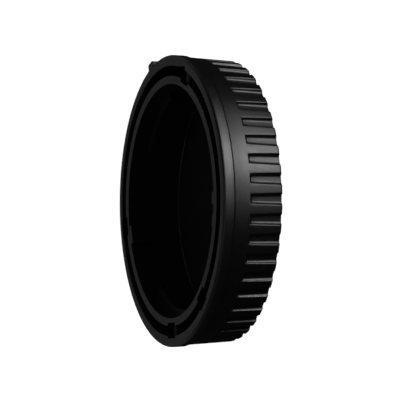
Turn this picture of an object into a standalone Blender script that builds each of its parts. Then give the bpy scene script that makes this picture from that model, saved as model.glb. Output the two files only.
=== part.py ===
"""Rear lens cap: one moulding, closed face down on z = 0 and open side up (+Z).

Lengths are in metres. The cap's axis is Z, and the index nub on the lip points along +Y.
Angles are in degrees, counted from the index nub, anticlockwise as seen from the open side.

A turned body gives the closed disc, the outer wall with its lip, the open annular groove and the inner
ring. Bayonet lugs, stop blocks, webs and the index nub are joined to it, and the grip's flutes and the
pockets in the open face are cut from it.
"""
import math

import bmesh
import bpy
from mathutils import Matrix, Vector

MM = 0.001

# Overall height, and the walls from the bore outwards
CAP_HEIGHT = 13.0 * MM
DISC_THICKNESS = 1.6 * MM
BORE_RADIUS = 24.05 * MM
RING_WALL = 1.66 * MM
GROOVE_WIDTH = 2.09 * MM
RIM_WALL = 2.2 * MM

# Draft of the groove's outer wall, and of the outside of the body, as run per unit of height
GROOVE_DRAFT = 0.088
BODY_DRAFT = 0.062
LIP_DRAFT = 0.04

# Lip: a slightly proud band around the open end
LIP_HEIGHT = 2.15 * MM
LIP_STAND_OUT = 0.26 * MM
LIP_STEP_HEIGHT = 0.35 * MM
LIP_CHAMFER_WIDTH = 0.62 * MM
LIP_CHAMFER_HEIGHT = 0.23 * MM

CLOSED_EDGE_CHAMFER = 0.4 * MM

# Grip: flutes run from below the plain band out through the closed face
FLUTE_COUNT = 45
FLUTE_PHASE = 1.15
PLAIN_BAND_HEIGHT = 5.7 * MM
FLUTE_FLOOR_WIDTH = 0.78 * MM
FLUTE_START_DEPTH = 0.56 * MM
FLUTE_END_DEPTH = 0.74 * MM
FLUTE_START_RUN = 0.6 * MM
FLUTE_WALL_ANGLE = 70.0
FLUTE_FLOOR_FILLET = 0.66 * MM
FLUTE_EDGE_ROUNDING = 0.26 * MM
FLUTE_FILLET_STEPS = 2
FLUTE_ROUNDING_STEPS = 2

# Index nub on the lip, tapered outwards
INDEX_HEIGHT = 1.1 * MM
INDEX_BASE_WIDTH = 2.64 * MM
INDEX_TOP_WIDTH = 2.24 * MM
INDEX_EDGE_ROUNDING = 0.15 * MM

# Rectangular pockets across the groove: three alike, evenly spaced, and a key pocket beside a web
POCKET_COUNT = 3
FIRST_POCKET_ANGLE = 80.6
POCKET_WIDTH = 4.0 * MM
KEY_POCKET_ANGLE = 160.9
KEY_POCKET_WIDTH = 3.95 * MM
POCKET_RING_BITE = 0.75 * MM
POCKET_RIM_BITE = 0.4 * MM
POCKET_DEPTH = 3.0 * MM

# Thin webs that tie the ring to the rim beside two of the pockets
WEB_ANGLES = (164.5, 316.4)
WEB_THICKNESS = 1.0 * MM
WEB_SETBACK = 0.1 * MM

# How far the tops of the stop blocks and of the index nub sit below the rim's face
FACE_SETBACK = 0.05 * MM

# Stop blocks on the bore, from the ring's face down to the level of the lugs: (angle, width, reach inwards)
STOP_BLOCKS = (
    (249.7, 2.5 * MM, 1.05 * MM),
    (238.9, 2.6 * MM, 0.65 * MM),
    (85.7, 3.9 * MM, 0.95 * MM),
)

# Bayonet lugs, evenly spaced and set back inside the bore
LUG_COUNT = 3
FIRST_LUG_ANGLE = 20.6
LUG_SPAN = 42.0
LUG_REACH = 1.65 * MM
LUG_THICKNESS = 1.5 * MM
LUG_SETBACK = 3.4 * MM

# Facets around the turned body: a whole number of them to each flute
SEGMENTS_PER_FLUTE = 3
LUG_SEGMENTS = 14

# How far joined pieces are sunk into the wall they grow from, and how far cutters stand clear of it
ROOT_OVERLAP = 0.5 * MM
CUTTER_MARGIN = 0.5 * MM

PLASTIC_COLOUR = (0.012, 0.012, 0.013, 1.0)
PLASTIC_ROUGHNESS = 0.42

# Radii that follow from the walls
RING_OUTER_RADIUS = BORE_RADIUS + RING_WALL
GROOVE_OUTER_RADIUS = RING_OUTER_RADIUS + GROOVE_WIDTH
LIP_RADIUS = GROOVE_OUTER_RADIUS + RIM_WALL


def body_radius(height):
    """Radius of the outer wall below the lip, at a height above the closed face."""
    lip_foot = CAP_HEIGHT - LIP_HEIGHT
    band_radius = LIP_RADIUS - LIP_DRAFT * (LIP_HEIGHT - LIP_CHAMFER_HEIGHT)
    return band_radius - LIP_STAND_OUT - BODY_DRAFT * (lip_foot - height)


def turned_profile():
    """Half section as (radius, height): up the outside, over the rim, round the groove and down the bore."""
    lip_foot = CAP_HEIGHT - LIP_HEIGHT
    step_foot = lip_foot - LIP_STEP_HEIGHT
    band_radius = LIP_RADIUS - LIP_DRAFT * (LIP_HEIGHT - LIP_CHAMFER_HEIGHT)
    groove_floor_outer = GROOVE_OUTER_RADIUS - GROOVE_DRAFT * (CAP_HEIGHT - DISC_THICKNESS)
    return [
        (0.0, 0.0),
        (body_radius(0.0) - CLOSED_EDGE_CHAMFER, 0.0),
        (body_radius(CLOSED_EDGE_CHAMFER), CLOSED_EDGE_CHAMFER),
        (body_radius(step_foot), step_foot),
        (band_radius, lip_foot),
        (LIP_RADIUS, CAP_HEIGHT - LIP_CHAMFER_HEIGHT),
        (LIP_RADIUS - LIP_CHAMFER_WIDTH, CAP_HEIGHT),
        (GROOVE_OUTER_RADIUS, CAP_HEIGHT),
        (groove_floor_outer, DISC_THICKNESS),
        (RING_OUTER_RADIUS, DISC_THICKNESS),
        (RING_OUTER_RADIUS, CAP_HEIGHT),
        (BORE_RADIUS, CAP_HEIGHT),
        (BORE_RADIUS, DISC_THICKNESS),
        (0.0, DISC_THICKNESS),
    ]


def turn_to(angle):
    """Rotation about the axis that takes +X to an angle counted from the index nub."""
    return Matrix.Rotation(math.radians(90.0 + angle), 4, "Z")


def around_axis(first_angle, count):
    """Angles of copies spaced evenly around the axis."""
    return [first_angle + 360.0 * index / count for index in range(count)]


def new_object(name, mesh_builder):
    """Object at the origin, linked to the scene, with the mesh that a bmesh comes to."""
    bmesh.ops.recalc_face_normals(mesh_builder, faces=mesh_builder.faces)
    mesh = bpy.data.meshes.new(name)
    mesh_builder.to_mesh(mesh)
    mesh_builder.free()
    made = bpy.data.objects.new(name, mesh)
    bpy.context.scene.collection.objects.link(made)
    return made


def build_turned_body():
    """The body of revolution, from its half section spun about the axis."""
    builder = bmesh.new()
    points = [builder.verts.new((radius, 0.0, height)) for radius, height in turned_profile()]
    edges = [builder.edges.new(pair) for pair in zip(points, points[1:])]
    bmesh.ops.spin(
        builder,
        geom=points + edges,
        cent=(0.0, 0.0, 0.0),
        axis=(0.0, 0.0, 1.0),
        angle=math.tau,
        steps=FLUTE_COUNT * SEGMENTS_PER_FLUTE,
    )
    bmesh.ops.remove_doubles(builder, verts=builder.verts, dist=0.001 * MM)
    bmesh.ops.rotate(builder, verts=builder.verts, matrix=turn_to(FLUTE_PHASE))
    return new_object("lens_cap", builder)


def add_loft(builder, rings):
    """Closed solid through rings of points that match one to one, with a face over each end."""
    loops = [[builder.verts.new(point) for point in ring] for ring in rings]
    for lower, upper in zip(loops, loops[1:]):
        for index in range(len(lower)):
            after = (index + 1) % len(lower)
            builder.faces.new((lower[index], lower[after], upper[after], upper[index]))
    builder.faces.new(loops[0])
    builder.faces.new(loops[-1])


def add_radial_block(builder, angle, inner, outer, bottom, top, inner_width, outer_width):
    """Block that lies along a radius, with its own width at the inner and at the outer end."""
    corners = (
        (inner, -inner_width / 2),
        (outer, -outer_width / 2),
        (outer, outer_width / 2),
        (inner, inner_width / 2),
    )
    rings = [[turn_to(angle) @ Vector((x, y, height)) for x, y in corners] for height in (bottom, top)]
    add_loft(builder, rings)


def add_arc_block(builder, angle, span, inner, outer, bottom, top):
    """Block that follows the bore over a span of degrees."""
    rings = []
    for index in range(LUG_SEGMENTS + 1):
        turn = turn_to(angle + span * (index / LUG_SEGMENTS - 0.5))
        section = ((inner, bottom), (outer, bottom), (outer, top), (inner, top))
        rings.append([turn @ Vector((radius, 0.0, height)) for radius, height in section])
    add_loft(builder, rings)


def build_lugs():
    """The bayonet lugs that hold the cap on a lens."""
    builder = bmesh.new()
    inner = BORE_RADIUS - LUG_REACH
    outer = BORE_RADIUS + ROOT_OVERLAP
    top = CAP_HEIGHT - LUG_SETBACK
    for angle in around_axis(FIRST_LUG_ANGLE, LUG_COUNT):
        add_arc_block(builder, angle, LUG_SPAN, inner, outer, top - LUG_THICKNESS, top)
    return new_object("bayonet_lugs", builder)


def build_stop_blocks():
    """The small blocks on the bore that end the cap's turn on a lens."""
    builder = bmesh.new()
    top = CAP_HEIGHT - FACE_SETBACK
    bottom = CAP_HEIGHT - LUG_SETBACK - LUG_THICKNESS / 2
    for angle, width, reach in STOP_BLOCKS:
        inner = BORE_RADIUS - reach
        outer = BORE_RADIUS + ROOT_OVERLAP
        add_radial_block(builder, angle, inner, outer, bottom, top, width, width)
    return new_object("stop_blocks", builder)


def build_webs():
    """The webs across the groove, from its floor up to just under the face."""
    builder = bmesh.new()
    inner = RING_OUTER_RADIUS - ROOT_OVERLAP
    outer = GROOVE_OUTER_RADIUS + ROOT_OVERLAP
    bottom = DISC_THICKNESS - ROOT_OVERLAP
    top = CAP_HEIGHT - WEB_SETBACK
    for angle in WEB_ANGLES:
        add_radial_block(builder, angle, inner, outer, bottom, top, WEB_THICKNESS, WEB_THICKNESS)
    return new_object("webs", builder)


def build_index_nub():
    """The nub that marks how the cap goes on, as high as the lip is."""
    builder = bmesh.new()
    inner = LIP_RADIUS - RIM_WALL / 2
    outer = LIP_RADIUS + INDEX_HEIGHT
    widening = (INDEX_BASE_WIDTH - INDEX_TOP_WIDTH) / INDEX_HEIGHT
    inner_width = INDEX_TOP_WIDTH + widening * (outer - inner)
    bottom = CAP_HEIGHT - LIP_HEIGHT
    top = CAP_HEIGHT - FACE_SETBACK
    add_radial_block(builder, 0.0, inner, outer, bottom, top, inner_width, INDEX_TOP_WIDTH)
    outer_edges = [edge for edge in builder.edges if min(vertex.co.y for vertex in edge.verts) > LIP_RADIUS]
    bmesh.ops.bevel(
        builder, geom=outer_edges, offset=INDEX_EDGE_ROUNDING, segments=2, profile=0.5, affect="EDGES"
    )
    return new_object("index_nub", builder)


def flute_depth(height):
    """Depth of a flute's floor below the outer wall, at a height above the closed face."""
    grip_height = CAP_HEIGHT - PLAIN_BAND_HEIGHT
    return FLUTE_END_DEPTH + (FLUTE_START_DEPTH - FLUTE_END_DEPTH) * height / grip_height


def flute_half_section(depth):
    """Half of a flute's outline from its middle: (distance along the wall, depth below the wall) points."""
    wall_angle = math.radians(FLUTE_WALL_ANGLE)
    needed = (FLUTE_FLOOR_FILLET + FLUTE_EDGE_ROUNDING) * (1.0 - math.cos(wall_angle))
    share = min(1.0, depth / needed)
    fillet = FLUTE_FLOOR_FILLET * share
    rounding = FLUTE_EDGE_ROUNDING * share
    outline = []
    for step in range(FLUTE_FILLET_STEPS + 1):
        turn = wall_angle * step / FLUTE_FILLET_STEPS
        distance = FLUTE_FLOOR_WIDTH / 2 + fillet * math.sin(turn)
        outline.append((distance, depth - fillet * (1.0 - math.cos(turn))))
    foot_distance, foot_depth = outline[-1]
    wall_rise = foot_depth - rounding * (1.0 - math.cos(wall_angle))
    mouth = foot_distance + wall_rise / math.tan(wall_angle) + rounding * math.sin(wall_angle)
    for step in range(FLUTE_ROUNDING_STEPS):
        turn = wall_angle * (1.0 - step / FLUTE_ROUNDING_STEPS)
        outline.append((mouth - rounding * math.sin(turn), rounding * (1.0 - math.cos(turn))))
    outline.append((mouth, -CUTTER_MARGIN))
    return outline


def flute_ring(height, half_section, angle):
    """Points of a flute cutter at one height, wrapped around the outer wall."""
    wall_radius = body_radius(height)
    outline = [(-distance, depth) for distance, depth in reversed(half_section)] + half_section
    return [
        turn_to(angle + math.degrees(distance / wall_radius)) @ Vector((wall_radius - depth, 0.0, height))
        for distance, depth in outline
    ]


def build_flute_cutters():
    """One cutter for each flute: it leaves the wall in a short slope and runs out below the closed face."""
    builder = bmesh.new()
    start = CAP_HEIGHT - PLAIN_BAND_HEIGHT
    lower = -CUTTER_MARGIN
    upper = start - FLUTE_START_RUN
    start_section = flute_half_section(flute_depth(start))
    clear_of_wall = [(distance, min(depth, -CUTTER_MARGIN / 5)) for distance, depth in start_section]
    stations = (
        (lower, flute_half_section(flute_depth(lower))),
        (upper, flute_half_section(flute_depth(upper))),
        (start, clear_of_wall),
    )
    for angle in around_axis(FLUTE_PHASE, FLUTE_COUNT):
        add_loft(builder, [flute_ring(height, half, angle) for height, half in stations])
    return new_object("flute_cutters", builder)


def build_pocket_cutters():
    """Cutters for the pockets: each bites into the ring and, less, into the rim."""
    builder = bmesh.new()
    inner = RING_OUTER_RADIUS - POCKET_RING_BITE
    outer = GROOVE_OUTER_RADIUS + POCKET_RIM_BITE
    bottom = CAP_HEIGHT - POCKET_DEPTH
    top = CAP_HEIGHT + CUTTER_MARGIN
    pockets = [(angle, POCKET_WIDTH) for angle in around_axis(FIRST_POCKET_ANGLE, POCKET_COUNT)]
    pockets.append((KEY_POCKET_ANGLE, KEY_POCKET_WIDTH))
    for angle, width in pockets:
        add_radial_block(builder, angle, inner, outer, bottom, top, width, width)
    return new_object("pocket_cutters", builder)


def combine(body, tool, operation):
    """Join a piece to the body or cut it away, and leave the piece out of the build."""
    modifier = body.modifiers.new(tool.name, "BOOLEAN")
    modifier.operation = operation
    modifier.solver = "EXACT"
    modifier.object = tool
    tool.hide_render = True
    tool.hide_viewport = True
    tool.display_type = "WIRE"


def plastic_material():
    """Matte black plastic."""
    material = bpy.data.materials.new("black_plastic")
    material.use_nodes = True
    shader = material.node_tree.nodes["Principled BSDF"]
    shader.inputs["Base Color"].default_value = PLASTIC_COLOUR
    shader.inputs["Roughness"].default_value = PLASTIC_ROUGHNESS
    shader.inputs["Metallic"].default_value = 0.0
    return material


def clear_scene():
    """Remove every object, so that a second run gives the same result."""
    for existing in list(bpy.data.objects):
        bpy.data.objects.remove(existing, do_unlink=True)


def main():
    """Build the cap."""
    clear_scene()
    body = build_turned_body()
    for build in (build_lugs, build_stop_blocks, build_index_nub):
        combine(body, build(), "UNION")
    combine(body, build_pocket_cutters(), "DIFFERENCE")
    combine(body, build_webs(), "UNION")
    combine(body, build_flute_cutters(), "DIFFERENCE")
    body.data.materials.append(plastic_material())
    body.data.shade_smooth()
    body.data.set_sharp_from_angle(angle=math.radians(25.0))


if __name__ == "__main__":
    main()
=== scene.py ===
"""Looks of the rear lens cap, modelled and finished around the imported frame.

The cap lies on its closed face, with its open side up (+Z) and its index nub towards +Y. Lengths are in metres,
and angles round the cap are in degrees, counted from the nub anticlockwise as seen from the open side.
"""

import logging
import math
from collections.abc import Callable, Iterator, Sequence
from contextlib import contextmanager
from dataclasses import dataclass, field
from enum import Enum

import bpy
from mathutils import Matrix, Vector


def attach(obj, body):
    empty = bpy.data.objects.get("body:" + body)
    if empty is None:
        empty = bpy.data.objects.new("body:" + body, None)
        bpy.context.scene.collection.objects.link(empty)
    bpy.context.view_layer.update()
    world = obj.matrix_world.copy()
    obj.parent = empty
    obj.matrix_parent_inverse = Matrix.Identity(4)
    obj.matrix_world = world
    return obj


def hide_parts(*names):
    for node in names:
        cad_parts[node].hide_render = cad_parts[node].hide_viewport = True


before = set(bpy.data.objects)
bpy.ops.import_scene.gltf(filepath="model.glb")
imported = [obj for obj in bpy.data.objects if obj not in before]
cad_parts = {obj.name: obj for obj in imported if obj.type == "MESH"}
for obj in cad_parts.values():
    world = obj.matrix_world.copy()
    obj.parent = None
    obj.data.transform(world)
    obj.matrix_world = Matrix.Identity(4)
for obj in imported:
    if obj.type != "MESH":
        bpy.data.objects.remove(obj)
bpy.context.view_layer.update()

LOG = logging.getLogger("lens_cap")
MM = 0.001
WELD = 0.002 * MM
NEAR = 0.01 * MM

Point = tuple[float, float]


class Joining(Enum):
    """How a shaped piece changes the body that it meets."""

    ADDED = "UNION"
    CUT_AWAY = "DIFFERENCE"


# Hand tools


def deselect() -> None:
    """Leave no object selected."""
    for other in bpy.context.selected_objects:
        other.select_set(False)


def take(piece: bpy.types.Object) -> bpy.types.Object:
    """Select one object alone and make it the active one.

    Args:
        piece: The object to work on.

    Returns:
        The same object.
    """
    deselect()
    piece.select_set(True)
    bpy.context.view_layer.objects.active = piece
    return piece


@contextmanager
def edit_mode(piece: bpy.types.Object) -> Iterator[None]:
    """Open a piece in edit mode with all of it selected, and close it again.

    Args:
        piece: The object to shape.
    """
    take(piece)
    bpy.ops.object.mode_set(mode="EDIT")
    bpy.ops.mesh.select_mode(type="VERT")
    bpy.ops.mesh.select_all(action="SELECT")
    try:
        yield
    finally:
        bpy.ops.object.mode_set(mode="OBJECT")


def select_vertices(piece: bpy.types.Object, wanted: Callable[[Vector], bool]) -> None:
    """In edit mode, select the vertices whose place passes a test, and what lies between them.

    Args:
        piece: The object in edit mode.
        wanted: The test of a vertex's place.
    """
    bpy.ops.mesh.select_all(action="DESELECT")
    bpy.ops.object.mode_set(mode="OBJECT")
    for vertex in piece.data.vertices:
        vertex.select = wanted(vertex.co)
    bpy.ops.object.mode_set(mode="EDIT")


def select_edges(piece: bpy.types.Object, wanted: Callable[[Vector, Vector], bool]) -> None:
    """In edit mode, select the edges whose two ends pass a test.

    Args:
        piece: The object in edit mode.
        wanted: The test of an edge's ends.
    """
    bpy.ops.mesh.select_all(action="DESELECT")
    bpy.ops.mesh.select_mode(type="EDGE")
    bpy.ops.object.mode_set(mode="OBJECT")
    places = piece.data.vertices
    for edge in piece.data.edges:
        first, second = edge.vertices
        edge.select = wanted(places[first].co, places[second].co)
    bpy.ops.object.mode_set(mode="EDIT")


def select_rims(piece: bpy.types.Object, wanted: Callable[[Vector], bool]) -> None:
    """In edit mode, select the open rims of a shell where both ends of an edge pass a test.

    Args:
        piece: The object in edit mode.
        wanted: The test of a vertex's place.
    """
    bpy.ops.object.mode_set(mode="OBJECT")
    numbers = {edge.key: edge.index for edge in piece.data.edges}
    uses = [0] * len(numbers)
    for face in piece.data.polygons:
        for key in face.edge_keys:
            uses[numbers[key]] += 1
    open_keys = {edge.key for edge in piece.data.edges if uses[edge.index] == 1}
    places = piece.data.vertices
    chosen = {key for key in open_keys if wanted(places[key[0]].co) and wanted(places[key[1]].co)}
    bpy.ops.object.mode_set(mode="EDIT")
    bpy.ops.mesh.select_all(action="DESELECT")
    bpy.ops.mesh.select_mode(type="EDGE")
    bpy.ops.object.mode_set(mode="OBJECT")
    for edge in piece.data.edges:
        edge.select = edge.key in chosen
    bpy.ops.object.mode_set(mode="EDIT")


def face_outwards(piece: bpy.types.Object) -> None:
    """Weld a piece's doubles and turn all its faces outwards.

    Args:
        piece: The object to put right.
    """
    with edit_mode(piece):
        bpy.ops.mesh.remove_doubles(threshold=WELD)
        bpy.ops.mesh.normals_make_consistent(inside=False)


def finish_modifier(piece: bpy.types.Object, modifier: bpy.types.Modifier) -> None:
    """Apply a modifier to its piece.

    Args:
        piece: The object that carries the modifier.
        modifier: The modifier to apply.
    """
    take(piece)
    bpy.ops.object.modifier_apply(modifier=modifier.name)


def join_with(body: bpy.types.Object, tool: bpy.types.Object, joining: Joining) -> None:
    """Add a shaped piece to the body or cut it away, and remove the piece.

    Args:
        body: The object that changes.
        tool: The piece that is used up.
        joining: Whether the piece is added or cut away.
    """
    modifier = body.modifiers.new(tool.name, "BOOLEAN")
    modifier.operation = joining.value
    modifier.solver = "EXACT"
    modifier.object = tool
    finish_modifier(body, modifier)
    bpy.data.objects.remove(tool, do_unlink=True)


def turned_to(angle: float) -> Matrix:
    """Rotation about the cap's axis that takes +X to an angle.

    Args:
        angle: Degrees from the index nub.

    Returns:
        The rotation.
    """
    return Matrix.Rotation(math.radians(90.0 + angle), 4, "Z")


def evenly(first: float, count: int) -> list[float]:
    """Angles of copies that are spaced evenly round the axis.

    Args:
        first: Angle of the first copy, in degrees.
        count: How many copies there are.

    Returns:
        The angles, in degrees.
    """
    return [first + 360.0 * index / count for index in range(count)]


def rounded(corners: list[Point], radii: Sequence[float], steps: int) -> list[Point]:
    """Line through corners, with an arc in place of each inner corner that has a radius.

    Args:
        corners: The line's corners, ends included.
        radii: A radius for each inner corner, or 0 to leave it sharp.
        steps: Segments in an arc.

    Returns:
        The points of the rounded line.
    """
    path = [corners[0]]
    for before, corner, after, radius in zip(corners, corners[1:], corners[2:], radii):
        if radius == 0.0:
            path.append(corner)
            continue
        tip = Vector(corner)
        back = (Vector(before) - tip).normalized()
        ahead = (Vector(after) - tip).normalized()
        half = back.angle(ahead) / 2.0
        centre = tip + (back + ahead).normalized() * (radius / math.sin(half))
        spoke = tip + back * (radius / math.tan(half)) - centre
        turn = math.pi - 2.0 * half
        if back.cross(ahead) > 0.0:
            turn = -turn
        for step in range(steps + 1):
            place = centre + Matrix.Rotation(turn * step / steps, 2) @ spoke
            path.append((place.x, place.y))
    path.append(corners[-1])
    return path


# Sizes


@dataclass(frozen=True)
class CapSizes:
    """Sizes that more than one feature of the cap shares.

    Walls are given from the bore outwards, and heights from the closed face. The outer and inner shells meet in a
    strip on the rim's face that reaches `seam` to both sides of the rim's middle.
    """

    height: float = 13.0 * MM
    disc: float = 1.6 * MM
    bore: float = 24.05 * MM
    ring_wall: float = 1.66 * MM
    groove: float = 2.09 * MM
    rim_wall: float = 2.2 * MM
    groove_draft: float = 0.088
    seam: float = 0.25 * MM

    @property
    def ring_outer(self) -> float:
        """Outer radius of the inner ring."""
        return self.bore + self.ring_wall

    @property
    def groove_outer(self) -> float:
        """Radius of the groove's outer wall at the open face."""
        return self.ring_outer + self.groove

    @property
    def lip_radius(self) -> float:
        """Radius of the lip, the cap's largest."""
        return self.groove_outer + self.rim_wall

    @property
    def rim_middle(self) -> float:
        """Radius of the middle of the rim's face."""
        return self.groove_outer + self.rim_wall / 2.0


@dataclass(frozen=True)
class WallRow:
    """One row of points over the outer wall: its place, and how much of the flutes shows there.

    An even row has its points spread evenly over the flute's strip. The others follow the flute's outline.
    """

    radius: float
    height: float
    cut: float
    even: bool = False


@dataclass
class GripWall:
    """The outer wall: the fluted grip, the plain band above it and the proud lip."""

    sizes: CapSizes
    flute_count: int = 45
    phase: float = 1.15
    plain_band: float = 5.7 * MM
    start_width: float = 0.62 * MM
    end_width: float = 0.9 * MM
    start_depth: float = 0.56 * MM
    end_depth: float = 0.74 * MM
    wall_angle: float = 70.0
    floor_fillet: float = 0.66 * MM
    edge_rounding: float = 0.26 * MM
    run_out_angle: float = 45.0
    run_out_fillet: float = 0.1 * MM
    run_out_rounding: float = 0.06 * MM
    draft: float = 0.062
    lip_draft: float = 0.04
    lip_height: float = 2.15 * MM
    lip_stand_out: float = 0.26 * MM
    step_height: float = 0.35 * MM
    chamfer_width: float = 0.62 * MM
    chamfer_height: float = 0.23 * MM
    closed_rounding: float = 0.47 * MM
    floor_chamfer: float = 0.06 * MM
    face_flat: float = 26.5 * MM
    band_foot: float = 0.5 * MM
    lip_roundings: tuple[float, ...] = (0.05 * MM, 0.05 * MM, 0.06 * MM, 0.08 * MM)
    row_shares: tuple[float, ...] = (0.35, 0.7)
    section_fit: float = 0.97
    fillet_steps: int = 5
    rounding_steps: int = 3
    land_steps: int = 2
    closed_steps: int = 4

    @property
    def half_columns(self) -> int:
        """Columns of faces in half of a flute's strip."""
        return 2 + self.fillet_steps + self.rounding_steps + self.land_steps

    @property
    def flute_start(self) -> float:
        """Height at which the flutes run out of the wall."""
        return self.sizes.height - self.plain_band

    @property
    def band_radius(self) -> float:
        """Radius of the lip at its foot."""
        return self.sizes.lip_radius - self.lip_draft * (self.lip_height - self.chamfer_height)

    def wall_radius(self, height: float) -> float:
        """Radius of the wall between the flutes.

        Args:
            height: Height above the closed face.

        Returns:
            The radius.
        """
        foot = self.sizes.height - self.lip_height
        return self.band_radius - self.lip_stand_out - self.draft * (foot - height)

    def floor_depth(self, height: float) -> float:
        """Depth of a flute's floor below the wall.

        Args:
            height: Height above the closed face.

        Returns:
            The depth.
        """
        return self.end_depth + (self.start_depth - self.end_depth) * height / self.flute_start

    def floor_width(self, height: float) -> float:
        """Width of a flute's flat floor.

        Args:
            height: Height above the closed face.

        Returns:
            The width.
        """
        return self.end_width + (self.start_width - self.end_width) * height / self.flute_start

    def half_section(self, depth: float, width: float) -> list[Point]:
        """Half of a flute's outline, from its middle to the edge of the land beside it.

        Args:
            depth: Depth of the flute's floor.
            width: Width of the flute's flat floor.

        Returns:
            Points of distance along the wall and depth below it.
        """
        slope = math.radians(self.wall_angle)
        needed = (self.floor_fillet + self.edge_rounding) * (1.0 - math.cos(slope))
        share = min(1.0, self.section_fit * depth / needed)
        fillet, rounding = self.floor_fillet * share, self.edge_rounding * share
        outline = [(0.0, depth)]
        for step in range(self.fillet_steps + 1):
            turn = slope * step / self.fillet_steps
            rise = fillet * (1.0 - math.cos(turn))
            outline.append((width / 2.0 + fillet * math.sin(turn), depth - rise))
        foot, foot_depth = outline[-1]
        wall_rise = foot_depth - rounding * (1.0 - math.cos(slope))
        mouth = foot + wall_rise / math.tan(slope) + rounding * math.sin(slope)
        for step in range(self.rounding_steps + 1):
            turn = slope * (1.0 - step / self.rounding_steps)
            outline.append((mouth - rounding * math.sin(turn), rounding * (1.0 - math.cos(turn))))
        return outline

    def run_out(self) -> list[Point]:
        """How a flute leaves the wall at its upper end.

        Returns:
            Points of distance below the flute's start and share of its full depth, from the floor up.
        """
        slope = math.radians(self.run_out_angle)
        cosine_loss = 1.0 - math.cos(slope)
        wall_rise = self.start_depth - (self.run_out_fillet + self.run_out_rounding) * cosine_loss
        down = self.run_out_rounding * math.sin(slope)
        foot = down + wall_rise / math.tan(slope) + self.run_out_fillet * math.sin(slope)
        points = []
        for step in range(self.rounding_steps + 1):
            turn = slope * step / self.rounding_steps
            depth = self.start_depth - self.run_out_fillet * (1.0 - math.cos(turn))
            points.append((foot - self.run_out_fillet * math.sin(turn), depth / self.start_depth))
        for step in range(self.rounding_steps + 1):
            turn = slope * (1.0 - step / self.rounding_steps)
            depth = self.run_out_rounding * (1.0 - math.cos(turn))
            points.append((down - self.run_out_rounding * math.sin(turn), depth / self.start_depth))
        return points

    def rows(self) -> list[WallRow]:
        """Rows over the outside, from the closed face to the middle of the rim's face.

        Returns:
            The rows, each with the share of the flute's depth that is cut there.
        """
        edge = self.closed_rounding
        rows = [WallRow(self.face_flat, 0.0, 0.0, even=True)]
        for step in range(self.closed_steps + 1):
            turn = math.radians(90.0 * (1.0 - step / self.closed_steps))
            height = edge * (1.0 - math.sin(turn))
            rows.append(WallRow(self.wall_radius(edge) - edge * (1.0 - math.cos(turn)), height, 1.0))
        for share in self.row_shares:
            height = self.flute_start * share
            rows.append(WallRow(self.wall_radius(height), height, 1.0))
        for below, cut in self.run_out():
            height = self.flute_start - below
            rows.append(WallRow(self.wall_radius(height), height, cut))
        height = self.flute_start + self.band_foot
        rows.append(WallRow(self.wall_radius(height), height, 0.0, even=True))
        top = self.sizes.height
        lip_foot = top - self.lip_height
        step_foot = lip_foot - self.step_height
        profile = rounded(
            [
                (self.wall_radius(height), height),
                (self.wall_radius(step_foot), step_foot),
                (self.band_radius, lip_foot),
                (self.sizes.lip_radius, top - self.chamfer_height),
                (self.sizes.lip_radius - self.chamfer_width, top),
                (self.sizes.rim_middle + self.sizes.seam, top),
            ],
            self.lip_roundings,
            self.rounding_steps,
        )
        rows += [WallRow(radius, height, 0.0, even=True) for radius, height in profile[1:]]
        return rows

    def place(self, row: WallRow, side: int, column: int) -> Vector:
        """Place of one point of a flute's strip.

        Args:
            row: The row that it lies in.
            side: -1 or 1, which half of the strip.
            column: Its number from the flute's middle outwards.

        Returns:
            The place, with the flute's middle on +X.
        """
        height = min(row.height, self.flute_start)
        section = self.half_section(self.floor_depth(height), self.floor_width(height))
        wall = self.wall_radius(height)
        half_pitch = math.pi / self.flute_count
        depth = 0.0
        if row.even:
            angle = half_pitch * column / self.half_columns
        elif column < len(section):
            distance, depth = section[column]
            angle = distance / wall
        else:
            mouth = section[-1][0] / wall
            share = (column - len(section) + 1) / self.land_steps
            angle = mouth + (half_pitch - mouth) * share
        radius = row.radius
        if row.cut == 1.0:
            corner = max(0.0, self.floor_chamfer - row.height)
            radius = min(radius, self.wall_radius(row.height) - depth - corner)
        elif row.cut > 0.0:
            radius -= depth * row.cut
        return Vector((radius * math.cos(angle), side * radius * math.sin(angle), row.height))

    def build(self) -> bpy.types.Object:
        """Shape one flute's strip from a grid and spin copies of it round the axis.

        Returns:
            The open shell of the outer wall.
        """
        rows = self.rows()
        half = self.half_columns
        bpy.ops.mesh.primitive_grid_add(x_subdivisions=2 * half, y_subdivisions=len(rows) - 1, size=2.0)
        strip = bpy.context.object
        strip.name = "grip_wall"
        for vertex in strip.data.vertices:
            column = round(vertex.co.x * half)
            row = rows[round((vertex.co.y + 1.0) / 2.0 * (len(rows) - 1))]
            vertex.co = self.place(row, -1 if column < 0 else 1, abs(column))
        strip.data.transform(turned_to(self.phase))
        step = math.tau / self.flute_count
        with edit_mode(strip):
            bpy.ops.mesh.spin(
                steps=self.flute_count - 1,
                dupli=True,
                angle=math.tau - step,
                center=(0.0, 0.0, 0.0),
                axis=(0.0, 0.0, 1.0),
            )
            bpy.ops.mesh.select_all(action="SELECT")
            bpy.ops.mesh.remove_doubles(threshold=WELD)
        return strip


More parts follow.
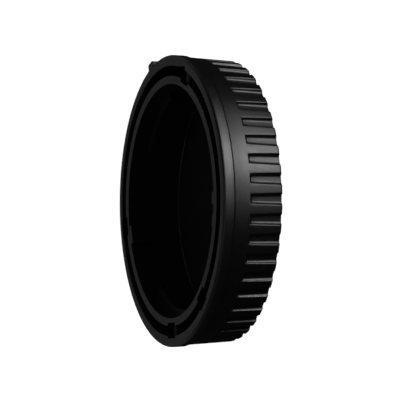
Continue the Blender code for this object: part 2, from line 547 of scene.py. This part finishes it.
@dataclass
class OpenSide:
    """The open side: the rim's face, the annular groove, the inner ring, the bore and the disc's inside."""

    sizes: CapSizes
    segments: int = 360
    edge_rounding: float = 0.05 * MM
    groove_fillet: float = 0.35 * MM
    bore_fillet: float = 0.25 * MM
    disc_opening: float = 6.0 * MM
    arc_steps: int = 4

    def profile(self) -> list[Point]:
        """Half section from the rim's face inwards.

        Returns:
            Points of radius and height.
        """
        sizes = self.sizes
        top = sizes.height
        groove_foot = sizes.groove_outer - sizes.groove_draft * (top - sizes.disc)
        edge, groove, bore = self.edge_rounding, self.groove_fillet, self.bore_fillet
        return rounded(
            [
                (sizes.rim_middle - sizes.seam, top),
                (sizes.groove_outer, top),
                (groove_foot, sizes.disc),
                (sizes.ring_outer, sizes.disc),
                (sizes.ring_outer, top),
                (sizes.bore, top),
                (sizes.bore, sizes.disc),
                (self.disc_opening, sizes.disc),
            ],
            (edge, groove, groove, edge, edge, bore),
            self.arc_steps,
        )

    def build(self) -> bpy.types.Object:
        """Draw the half section by extruding one point, and spin it about the axis.

        Returns:
            The open shell of the inner side.
        """
        path = self.profile()
        bpy.ops.mesh.primitive_plane_add(size=MM)
        shell = bpy.context.object
        shell.name = "open_side"
        with edit_mode(shell):
            bpy.ops.mesh.merge(type="CENTER")
            bpy.ops.transform.translate(value=(path[0][0], 0.0, path[0][1]))
            for (radius, height), (next_radius, next_height) in zip(path, path[1:]):
                bpy.ops.mesh.extrude_region_move(
                    TRANSFORM_OT_translate={"value": (next_radius - radius, 0.0, next_height - height)}
                )
            bpy.ops.mesh.select_all(action="SELECT")
            bpy.ops.mesh.spin(
                steps=self.segments,
                dupli=False,
                angle=math.tau,
                center=(0.0, 0.0, 0.0),
                axis=(0.0, 0.0, 1.0),
            )
            bpy.ops.mesh.select_all(action="SELECT")
            bpy.ops.mesh.remove_doubles(threshold=WELD)
        return shell


@dataclass(frozen=True)
class Stop:
    """A stop block on the bore: where it stands, its width and its reach inwards."""

    angle: float
    width: float
    reach: float


@dataclass(frozen=True)
class Web:
    """A web across the groove: where it stands, its thickness, how far it lies below the face, and its rounding."""

    angle: float
    thickness: float
    setback: float
    rounding: float


@dataclass(frozen=True)
class Bite:
    """A pocket's bite into the ring or the rim: where it is, its width, its reach and how far off the radius it is."""

    angle: float
    width: float
    reach: float
    aside: float = 0.0


@dataclass
class LockingFeatures:
    """What grows from the ring and rim, or is sunk into them: lugs, stops, webs, pockets and the index nub.

    Joined pieces are sunk by `root` into what carries them. A web's flat top begins `web_gap` off the ring. The
    third rim bite isn't square to the radius that it lies on, so it is set aside of the one that it is square to.
    """

    sizes: CapSizes
    face_setback: float = 0.05 * MM
    root: float = 0.5 * MM
    lug_count: int = 3
    first_lug: float = 20.6
    lug_span: float = 42.0
    lug_reach: float = 1.65 * MM
    lug_thickness: float = 1.5 * MM
    lug_setback: float = 3.4 * MM
    lug_steps: int = 24
    stops: tuple[Stop, ...] = (
        Stop(249.7, 2.5 * MM, 1.05 * MM),
        Stop(238.9, 2.6 * MM, 0.65 * MM),
        Stop(85.7, 3.9 * MM, 0.95 * MM),
    )
    stop_rounding: float = 0.1 * MM
    webs: tuple[Web, ...] = (
        Web(164.5, 1.0 * MM, 0.1 * MM, 0.42 * MM),
        Web(319.1, 2.0 * MM, 0.3 * MM, 0.75 * MM),
    )
    web_gap: float = 0.3 * MM
    ring_bites: tuple[Bite, ...] = (
        Bite(80.6, 4.0 * MM, 0.75 * MM),
        Bite(200.6, 4.0 * MM, 0.75 * MM),
        Bite(320.6, 4.0 * MM, 0.75 * MM),
        Bite(160.9, 3.95 * MM, 0.75 * MM),
    )
    rim_bites: tuple[Bite, ...] = (
        Bite(80.6, 4.0 * MM, 0.4 * MM),
        Bite(200.6, 4.0 * MM, 0.4 * MM),
        Bite(338.2, 3.8 * MM, -0.33 * MM, -6.25 * MM),
        Bite(160.9, 3.95 * MM, 0.4 * MM),
    )
    bite_overlap: float = 0.5 * MM
    pocket_depth: float = 3.0 * MM
    pocket_rounding: float = 0.12 * MM
    nub_height: float = 1.09 * MM
    nub_drop: float = 2.1 * MM
    nub_angle: float = 0.55
    nub_base: float = 2.8 * MM
    nub_top: float = 2.4 * MM
    nub_setback: float = 0.02 * MM
    nub_corner: float = 0.36 * MM
    nub_edge: float = 0.19 * MM

    def block(
        self,
        name: str,
        angle: float,
        inner: float,
        outer: float,
        bottom: float,
        top: float,
        width: float,
        soft: float,
        aside: float = 0.0,
    ) -> bpy.types.Object:
        """Block that lies along a radius, with its edges rounded.

        Args:
            name: Name of the piece.
            angle: Where round the cap it lies.
            inner: Radius of its inner end.
            outer: Radius of its outer end.
            bottom: Height of its underside.
            top: Height of its top.
            width: Its width.
            soft: Radius of its edges.
            aside: How far it is moved off the radius, anticlockwise.

        Returns:
            The block.
        """
        bpy.ops.mesh.primitive_cube_add(size=1.0)
        made = bpy.context.object
        made.name = name
        place = Matrix.Translation(((inner + outer) / 2.0, aside, (bottom + top) / 2.0))
        size = Matrix.Diagonal((outer - inner, width, top - bottom, 1.0))
        made.data.transform(turned_to(angle) @ place @ size)
        with edit_mode(made):
            bpy.ops.mesh.bevel(offset=soft, segments=2, affect="EDGES")
        return made

    def lug(self, angle: float) -> bpy.types.Object:
        """Bayonet lug: its section is spun clockwise along the bore, from one end to the other.

        Args:
            angle: Where round the cap its middle lies.

        Returns:
            The lug.
        """
        top = self.sizes.height - self.lug_setback
        inner = self.sizes.bore - self.lug_reach
        outer = self.sizes.bore + self.root
        bpy.ops.mesh.primitive_plane_add(size=1.0)
        made = bpy.context.object
        made.name = "bayonet_lug"
        upright = Matrix.Rotation(math.pi / 2.0, 4, "X")
        place = Matrix.Translation(((inner + outer) / 2.0, 0.0, top - self.lug_thickness / 2.0))
        size = Matrix.Diagonal((outer - inner, 1.0, self.lug_thickness, 1.0))
        made.data.transform(turned_to(angle + self.lug_span / 2.0) @ place @ size @ upright)
        with edit_mode(made):
            bpy.ops.mesh.spin(
                steps=self.lug_steps,
                dupli=False,
                angle=math.radians(self.lug_span),
                center=(0.0, 0.0, 0.0),
                axis=(0.0, 0.0, 1.0),
            )
            bpy.ops.mesh.select_all(action="SELECT")
            bpy.ops.mesh.normals_make_consistent(inside=False)
        return made

    def index_nub(self) -> bpy.types.Object:
        """The nub on the lip that marks how the cap goes on, tapered outwards.

        Returns:
            The nub.
        """
        inner = self.sizes.rim_middle
        outer = self.sizes.lip_radius + self.nub_height
        bottom = self.sizes.height - self.nub_drop
        top = self.sizes.height - self.nub_setback
        bpy.ops.mesh.primitive_cube_add(size=1.0)
        made = bpy.context.object
        made.name = "index_nub"
        place = Matrix.Translation(((inner + outer) / 2.0, 0.0, (bottom + top) / 2.0))
        size = Matrix.Diagonal((outer - inner, self.nub_top, top - bottom, 1.0))
        made.data.transform(turned_to(0.0) @ place @ size)
        widening = (self.nub_base - self.nub_top) / self.nub_height
        root_width = self.nub_top + widening * (outer - inner)
        with edit_mode(made):
            select_vertices(made, lambda at: at.y < self.sizes.lip_radius)
            bpy.ops.transform.resize(value=(root_width / self.nub_top, 1.0, 1.0))
            select_edges(made, lambda one, two: min(one.y, two.y) > self.sizes.lip_radius and one.x * two.x > 0.0)
            bpy.ops.mesh.bevel(offset=self.nub_corner, segments=4, affect="EDGES")
            select_edges(made, lambda one, two: min(one.z, two.z) > top - NEAR)
            bpy.ops.mesh.bevel(offset=self.nub_edge, segments=2, affect="EDGES")
        made.data.transform(Matrix.Rotation(math.radians(self.nub_angle), 4, "Z"))
        return made

    def add_to(self, body: bpy.types.Object) -> None:
        """Join every feature to the cap's body.

        Args:
            body: The turned body.
        """
        sizes = self.sizes
        for angle in evenly(self.first_lug, self.lug_count):
            join_with(body, self.lug(angle), Joining.ADDED)
        face = sizes.height - self.face_setback
        stop_foot = sizes.height - self.lug_setback - self.lug_thickness / 2.0
        for stop in self.stops:
            inner, outer = sizes.bore - stop.reach, sizes.bore + self.root
            made = self.block("stop", stop.angle, inner, outer, stop_foot, face, stop.width, self.stop_rounding)
            join_with(body, made, Joining.ADDED)
        join_with(body, self.index_nub(), Joining.ADDED)
        self.cut_pockets(body)
        for web in self.webs:
            inner, outer = sizes.ring_outer + self.web_gap - web.rounding, sizes.groove_outer + self.root
            bottom, top = sizes.disc - self.root, sizes.height - web.setback
            made = self.block("web", web.angle, inner, outer, bottom, top, web.thickness, web.rounding)
            join_with(body, made, Joining.ADDED)

    def cut_pockets(self, body: bpy.types.Object) -> None:
        """Cut the pockets into the ring and the rim.

        Args:
            body: The cap's body.
        """
        sizes = self.sizes
        middle = (sizes.ring_outer + sizes.groove_outer) / 2.0
        for bite in self.ring_bites:
            self.cut_bite(body, bite, sizes.ring_outer - bite.reach, middle)
        for bite in self.rim_bites:
            self.cut_bite(body, bite, middle - self.bite_overlap, sizes.groove_outer + bite.reach)

    def cut_bite(self, body: bpy.types.Object, bite: Bite, inner: float, outer: float) -> None:
        """Cut one bite.

        Args:
            body: The cap's body.
            bite: The bite to cut.
            inner: Radius of its inner end.
            outer: Radius of its outer end.
        """
        bottom, top = self.sizes.height - self.pocket_depth, self.sizes.height + self.root
        soft = self.pocket_rounding
        made = self.block("pocket", bite.angle, inner, outer, bottom, top, bite.width, soft, bite.aside)
        join_with(body, made, Joining.CUT_AWAY)


# Finishes


class Graph:
    """Small helper that adds and links the nodes of one material or world."""

    def __init__(self, tree: bpy.types.NodeTree) -> None:
        """Take hold of a node tree.

        Args:
            tree: The tree to fill.
        """
        self.tree = tree

    def add(self, kind: str, **settings: object) -> bpy.types.Node:
        """Add a node.

        Args:
            kind: Blender's name of the node type.
            settings: Its properties.

        Returns:
            The node.
        """
        node = self.tree.nodes.new(kind)
        for name, value in settings.items():
            setattr(node, name, value)
        return node

    def feed(self, socket: bpy.types.NodeSocket, value: object) -> None:
        """Give a socket a fixed value, or link it to another node's output.

        Args:
            socket: The input.
            value: A number, a colour or an output socket.
        """
        if isinstance(value, bpy.types.NodeSocket):
            self.tree.links.new(value, socket)
        else:
            socket.default_value = value

    def maths(self, operation: str, *values: object, clamp: bool = False) -> bpy.types.NodeSocket:
        """Add a Math node.

        Args:
            operation: What it does.
            values: Its inputs.
            clamp: Whether the result is kept from 0 to 1.

        Returns:
            Its output.
        """
        node = self.add("ShaderNodeMath", operation=operation, use_clamp=clamp)
        for socket, value in zip(node.inputs, values):
            self.feed(socket, value)
        return node.outputs[0]

    def ramp(
        self, value: object, low: float, high: float, start: float = 0.0, end: float = 1.0
    ) -> bpy.types.NodeSocket:
        """Add a smooth step from one level to another.

        Args:
            value: What it depends on.
            low: Where the step begins.
            high: Where the step ends.
            start: Level before it.
            end: Level after it.

        Returns:
            The level.
        """
        node = self.add("ShaderNodeMapRange", interpolation_type="SMOOTHSTEP")
        levels = {"Value": value, "From Min": low, "From Max": high, "To Min": start, "To Max": end}
        for name, level in levels.items():
            self.feed(node.inputs[name], level)
        return node.outputs["Result"]

    def noise(self, vector: object, scale: float, detail: float = 2.0, roughness: float = 0.5) -> bpy.types.NodeSocket:
        """Add a noise texture.

        Args:
            vector: Where it is read.
            scale: How many times it repeats in a metre.
            detail: How many finer layers it has.
            roughness: How strong those layers are.

        Returns:
            Its level, about 0.5 on average.
        """
        node = self.add("ShaderNodeTexNoise")
        self.feed(node.inputs["Vector"], vector)
        self.feed(node.inputs["Scale"], scale)
        self.feed(node.inputs["Detail"], detail)
        self.feed(node.inputs["Roughness"], roughness)
        return node.outputs["Fac"]


@dataclass(frozen=True)
class MouldedPlastic:
    """Matte black plastic as it leaves the mould.

    It has fine spark grain, slow patches and faint turning marks. Inside the groove, the bore and the disc it is
    rougher, and its colour is darker there as painted shade.
    """

    sizes: CapSizes
    colour: tuple[float, float, float] = (0.0024, 0.0024, 0.0025)
    # Darker colour of the hollows: painted shade on the same plastic.
    hollow_shade_colour: tuple[float, float, float] = (0.001, 0.001, 0.001)
    roughness: float = 0.35
    inner_roughness: float = 0.45
    refraction: float = 1.5
    grain_scale: float = 7000.0
    grain_height: float = 0.004 * MM
    grain_strength: float = 0.5
    mottle_scale: float = 900.0
    smudge_scale: float = 70.0
    turning_scale: float = 6000.0
    tint_swing: float = 0.12
    patch_swing: float = 0.02
    turning_swing: float = 0.015
    inside_start: float = 0.16 * MM
    inside_depth: float = 0.3 * MM

    def inside(self, graph: Graph, radius: bpy.types.NodeSocket, height: bpy.types.NodeSocket) -> bpy.types.NodeSocket:
        """Mask of the groove, the bore and the disc's inside, where the colour is darkened as painted shade and the
        roughness is raised.

        Args:
            graph: The material's nodes.
            radius: Distance from the cap's axis.
            height: Height above the closed face.

        Returns:
            1 inside, 0 elsewhere.
        """
        within = graph.ramp(radius, self.sizes.groove_outer + 0.02 * MM, self.sizes.groove_outer + 0.08 * MM, 1.0, 0.0)
        top = self.sizes.height
        below = graph.ramp(height, top - self.inside_depth, top - self.inside_start, 1.0, 0.0)
        above = graph.ramp(height, self.sizes.disc * 0.4, self.sizes.disc * 0.6)
        return graph.maths("MULTIPLY", graph.maths("MULTIPLY", within, below), above)

    def build(self) -> bpy.types.Material:
        """Make the material.

        Returns:
            The material.
        """
        material = bpy.data.materials.new("moulded_black_plastic")
        material.use_nodes = True
        graph = Graph(material.node_tree)
        shader = material.node_tree.nodes["Principled BSDF"]
        place = graph.add("ShaderNodeTexCoord").outputs["Object"]
        split = graph.add("ShaderNodeSeparateXYZ")
        graph.feed(split.inputs[0], place)
        x, y, height = split.outputs
        squares = graph.maths("ADD", graph.maths("MULTIPLY", x, x), graph.maths("MULTIPLY", y, y))
        radius = graph.maths("SQRT", squares)
        inside = self.inside(graph, radius, height)

        mottle = graph.noise(place, self.mottle_scale, detail=4.0, roughness=0.6)
        smudge = graph.noise(place, self.smudge_scale, detail=3.0)
        grain = graph.noise(place, self.grain_scale, detail=3.0, roughness=0.65)
        ringed = graph.add("ShaderNodeCombineXYZ")
        graph.feed(ringed.inputs[0], radius)
        graph.feed(ringed.inputs[1], height)
        turning = graph.noise(ringed.outputs[0], self.turning_scale, detail=2.0)

        # Painted shade: inside the groove, the bore and the disc, the base colour is mixed towards the darker shade
        # colour.
        tint = graph.add("ShaderNodeMix", data_type="RGBA")
        graph.feed(tint.inputs["Factor"], inside)
        graph.feed(tint.inputs["A"], (*self.colour, 1.0))
        graph.feed(tint.inputs["B"], (*self.hollow_shade_colour, 1.0))
        shade = graph.add("ShaderNodeHueSaturation")
        value = graph.ramp(mottle, 0.3, 0.7, 1.0 - self.tint_swing, 1.0 + self.tint_swing)
        graph.feed(shade.inputs["Value"], value)
        graph.feed(shade.inputs["Color"], tint.outputs["Result"])
        graph.feed(shader.inputs["Base Color"], shade.outputs["Color"])

        slow = graph.ramp(smudge, 0.35, 0.65, -self.patch_swing, self.patch_swing)
        fine = graph.ramp(mottle, 0.3, 0.7, -self.patch_swing, self.patch_swing)
        marks = graph.ramp(turning, 0.3, 0.7, -self.turning_swing, self.turning_swing)
        swing = graph.maths("ADD", graph.maths("ADD", slow, fine), marks)
        level = graph.ramp(inside, 0.0, 1.0, self.roughness, self.inner_roughness)
        graph.feed(shader.inputs["Roughness"], graph.maths("ADD", level, swing))
        shader.inputs["IOR"].default_value = self.refraction

        bump = graph.add("ShaderNodeBump")
        bump.inputs["Strength"].default_value = self.grain_strength
        bump.inputs["Distance"].default_value = self.grain_height
        graph.feed(bump.inputs["Height"], grain)
        graph.feed(shader.inputs["Normal"], bump.outputs["Normal"])
        return material


# The cap


@dataclass
class LensCap:
    """The whole cap, one moulding, which stands for the CAD's one node."""

    sizes: CapSizes = field(default_factory=CapSizes)
    smooth_angle: float = 32.0

    def close_shell(self, wall: bpy.types.Object, open_side: bpy.types.Object) -> bpy.types.Object:
        """Join the outer wall to the open side, and close the disc on both sides.

        Args:
            wall: The outer wall's shell.
            open_side: The inner side's shell.

        Returns:
            The closed body.
        """
        take(wall)
        open_side.select_set(True)
        bpy.ops.object.join()
        with edit_mode(wall):
            select_rims(wall, lambda at: at.z > self.sizes.height - NEAR)
            bpy.ops.mesh.fill(use_beauty=True)
            select_rims(wall, lambda at: at.z < NEAR)
            bpy.ops.mesh.edge_face_add()
            select_rims(wall, lambda at: at.z < self.sizes.disc + NEAR)
            bpy.ops.mesh.edge_face_add()
        face_outwards(wall)
        return wall

    def smooth(self, body: bpy.types.Object) -> None:
        """Shade the curved faces smooth and keep the flats flat.

        Args:
            body: The cap.
        """
        take(body)
        bpy.ops.object.shade_smooth_by_angle(angle=math.radians(self.smooth_angle))
        weighting = body.modifiers.new("face_weighted_normals", "WEIGHTED_NORMAL")
        weighting.keep_sharp = True
        weighting.thresh = 0.0
        finish_modifier(body, weighting)

    def build(self) -> bpy.types.Object:
        """Model and dress the cap, attach it to the root body and hide the CAD part that it stands for.

        Returns:
            The cap's object.
        """
        body = self.close_shell(GripWall(self.sizes).build(), OpenSide(self.sizes).build())
        LockingFeatures(self.sizes).add_to(body)
        body.name = "lens_cap_moulding"
        self.smooth(body)
        body.data.materials.clear()
        body.data.materials.append(MouldedPlastic(self.sizes).build())
        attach(body, "root")
        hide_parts("lens_cap")
        return body


# Studio and camera


@dataclass(frozen=True)
class PhotoView:
    """Where the photograph was taken from, relative to the middle of the cap's open face.

    The camera looks at that point from `distance`, `tilt` degrees off the cap's axis, and is turned on its side.
    """

    target_height: float = 13.0 * MM
    distance: float = 0.742
    tilt: float = 68.77
    near_side: float = -21.8
    roll: float = 0.0044
    focal_pixels: float = 3613.4
    picture: float = 400.0
    centre_x: float = 169.66
    centre_y: float = 201.03
    sensor: float = 36.0

    def axes(self) -> tuple[Vector, Vector, Vector]:
        """Directions of the picture's right, its down and the line of sight.

        Returns:
            The three directions.
        """
        near = Matrix.Rotation(math.radians(self.near_side), 3, "Z") @ Vector((1.0, 0.0, 0.0))
        depth = Vector((0.0, 0.0, -1.0))
        down = depth.cross(near)
        tilt = math.radians(self.tilt)
        right = math.cos(tilt) * near + math.sin(tilt) * depth
        sight = math.cos(tilt) * depth - math.sin(tilt) * near
        cosine, sine = math.cos(self.roll), math.sin(self.roll)
        return cosine * right - sine * down, sine * right + cosine * down, sight

    def place(self) -> bpy.types.Object:
        """Make the camera.

        Returns:
            The camera.
        """
        right, down, sight = self.axes()
        where = Vector((0.0, 0.0, self.target_height)) - self.distance * sight
        aside = (self.picture / 2.0 - self.centre_x) / self.focal_pixels
        below = (self.picture / 2.0 - self.centre_y) / self.focal_pixels
        aim = (sight + aside * right + below * down).normalized()
        across = (right - aim * right.dot(aim)).normalized()
        upward = across.cross(aim)
        data = bpy.data.cameras.new("photo_camera")
        data.sensor_width = self.sensor
        data.lens = self.focal_pixels / self.picture * data.sensor_width
        data.clip_start = 0.05
        data.clip_end = 10.0
        camera = bpy.data.objects.new("photo_camera", data)
        bpy.context.scene.collection.objects.link(camera)
        camera.matrix_world = Matrix(
            (
                (across.x, upward.x, -aim.x, where.x),
                (across.y, upward.y, -aim.y, where.y),
                (across.z, upward.z, -aim.z, where.z),
                (0.0, 0.0, 0.0, 1.0),
            )
        )
        bpy.context.scene.camera = camera
        return camera


@dataclass(frozen=True)
class Softbox:
    """A rectangular studio lamp that points at the middle of the cap.

    It hangs `towards` an azimuth and at a `rise` above the horizon, both in degrees. Its `level` is how bright it
    makes white paint that faces it, where 1 is white.
    """

    name: str
    towards: float
    rise: float
    width: float
    height: float
    level: float
    distance: float = 0.9
    aim_height: float = 6.5 * MM

    def place(self) -> bpy.types.Object:
        """Hang the lamp.

        Returns:
            The lamp.
        """
        target = Vector((0.0, 0.0, self.aim_height))
        turn = Matrix.Rotation(math.radians(self.towards), 3, "Z")
        tip = Matrix.Rotation(math.radians(-self.rise), 3, "Y")
        direction = turn @ tip @ Vector((1.0, 0.0, 0.0))
        data = bpy.data.lights.new(self.name, "AREA")
        data.shape = "RECTANGLE"
        data.size = self.width
        data.size_y = self.height
        data.energy = self.level * math.pi * math.pi * self.distance**2
        lamp = bpy.data.objects.new(self.name, data)
        bpy.context.scene.collection.objects.link(lamp)
        lamp.location = target + direction * self.distance
        across = Vector((0.0, 0.0, 1.0)).cross(direction).normalized()
        upward = direction.cross(across)
        lamp.rotation_euler = Matrix((across, upward, direction)).transposed().to_euler()
        lamp.visible_camera = False
        return lamp


@dataclass
class Studio:
    """Plain white floor and backdrop, soft lamps and a dim sky.

    The sky's stops are degrees above the horizon and the level there.
    """

    floor_radius: float = 1.3
    floor_drop: float = 0.02 * MM
    backdrop_height: float = 1.6
    paint: float = 0.9
    floor_glow: float = 0.5
    floor_level: float = 1.03
    sun_angle: float = 3.5
    lamps: tuple[Softbox, ...] = (
        Softbox("key", towards=13.9, rise=-23.0, width=0.38, height=0.24, level=0.35),
        Softbox("key_wide", towards=15.0, rise=-23.0, width=1.2, height=0.24, level=0.39),
        Softbox("overhead", towards=158.2, rise=88.0, width=1.1, height=0.14, level=0.1),
        Softbox("kicker", towards=158.2, rise=-30.0, width=0.28, height=0.34, level=0.17),
    )
    sky: tuple[tuple[float, float], ...] = (
        (-90.0, 0.006),
        (-18.0, 0.006),
        (-10.0, 0.1),
        (2.0, 0.1),
        (8.0, 0.02),
        (14.0, 0.165),
        (26.0, 0.165),
        (35.0, 0.02),
        (62.0, 0.025),
        (80.0, 0.03),
    )

    def white(self, name: str, glow: float) -> bpy.types.Material:
        """White matte paint.

        Args:
            name: Name of the material.
            glow: How much light it gives off itself.

        Returns:
            The material.
        """
        material = bpy.data.materials.new(name)
        material.use_nodes = True
        shader = material.node_tree.nodes["Principled BSDF"]
        shader.inputs["Base Color"].default_value = (self.paint, self.paint, self.paint, 1.0)
        shader.inputs["Roughness"].default_value = 1.0
        shader.inputs["Specular IOR Level"].default_value = 0.0
        shader.inputs["Emission Color"].default_value = (1.0, 1.0, 1.0, 1.0)
        shader.inputs["Emission Strength"].default_value = glow
        return material

    def keep_off_cap(self, piece: bpy.types.Object) -> None:
        """Keep a piece of the set from casting light or shade on the cap.

        Args:
            piece: The floor or the backdrop.
        """
        piece.visible_diffuse = False
        piece.visible_glossy = False
        piece.visible_transmission = False
        piece.visible_shadow = False

    def build_set(self) -> bpy.types.Object:
        """Lay the floor and put up the backdrop.

        Returns:
            The floor.
        """
        bpy.ops.mesh.primitive_circle_add(
            vertices=96, radius=self.floor_radius, fill_type="NGON", location=(0.0, 0.0, -self.floor_drop)
        )
        floor = bpy.context.object
        floor.name = "floor"
        floor.data.materials.append(self.white("white_floor", self.floor_glow))
        self.keep_off_cap(floor)
        bpy.ops.mesh.primitive_cylinder_add(
            vertices=96, radius=self.floor_radius, depth=self.backdrop_height, end_fill_type="NOTHING"
        )
        backdrop = bpy.context.object
        backdrop.name = "backdrop"
        backdrop.data.transform(Matrix.Translation((0.0, 0.0, self.backdrop_height / 2.0 - self.floor_drop)))
        backdrop.data.materials.append(self.white("white_backdrop", 1.0))
        self.keep_off_cap(backdrop)
        return floor

    def light_floor(self, floor: bpy.types.Object) -> None:
        """Light the floor alone, from the camera's side, so that the cap's shadow falls behind it.

        Args:
            floor: The floor.
        """
        only_floor = bpy.data.collections.new("only_floor")
        only_floor.objects.link(floor)
        sight = PhotoView().axes()[2]
        data = bpy.data.lights.new("floor_sun", "SUN")
        data.energy = self.floor_level * (1.0 - self.floor_glow) * math.pi / self.paint / -sight.z
        data.angle = math.radians(self.sun_angle)
        sun = bpy.data.objects.new("floor_sun", data)
        bpy.context.scene.collection.objects.link(sun)
        sun.rotation_euler = (-sight).to_track_quat("Z", "Y").to_euler()
        sun.light_linking.receiver_collection = only_floor

    def build_sky(self) -> None:
        """Hang a dim sky, with a pale band above the horizon and a fainter one along it."""
        world = bpy.data.worlds.new("studio_sky")
        bpy.context.scene.world = world
        world.use_nodes = True
        graph = Graph(world.node_tree)
        background = world.node_tree.nodes["Background"]
        split = graph.add("ShaderNodeSeparateXYZ")
        graph.feed(split.inputs[0], graph.add("ShaderNodeTexCoord").outputs["Generated"])
        height = graph.maths("MULTIPLY_ADD", split.outputs[2], 0.5, 0.5)
        ramp = graph.add("ShaderNodeValToRGB")
        graph.feed(ramp.inputs["Fac"], height)
        stops = ramp.color_ramp.elements
        while len(stops) < len(self.sky):
            stops.new(1.0)
        for stop, (rise, level) in zip(stops, self.sky):
            stop.position = 0.5 + 0.5 * math.sin(math.radians(rise))
            stop.color = (level, level, level, 1.0)
        graph.feed(background.inputs["Color"], ramp.outputs["Color"])
        background.inputs["Strength"].default_value = 1.0

    def build(self) -> None:
        """Set the floor, the backdrop, the lamps and the sky."""
        self.light_floor(self.build_set())
        self.build_sky()
        for lamp in self.lamps:
            lamp.place()


def report(piece: bpy.types.Object) -> None:
    """Say what a piece came to.

    Args:
        piece: The finished piece.
    """
    triangles = sum(len(face.vertices) - 2 for face in piece.data.polygons)
    LOG.info("%s: %d vertices, %d triangles", piece.name, len(piece.data.vertices), triangles)


def main() -> None:
    """Build the cap, the studio and the camera."""
    logging.basicConfig(level=logging.INFO, format="%(message)s")
    report(LensCap().build())
    Studio().build()
    PhotoView().place()
    bpy.context.scene.view_settings.view_transform = "Standard"


if __name__ == "__main__":
    main()
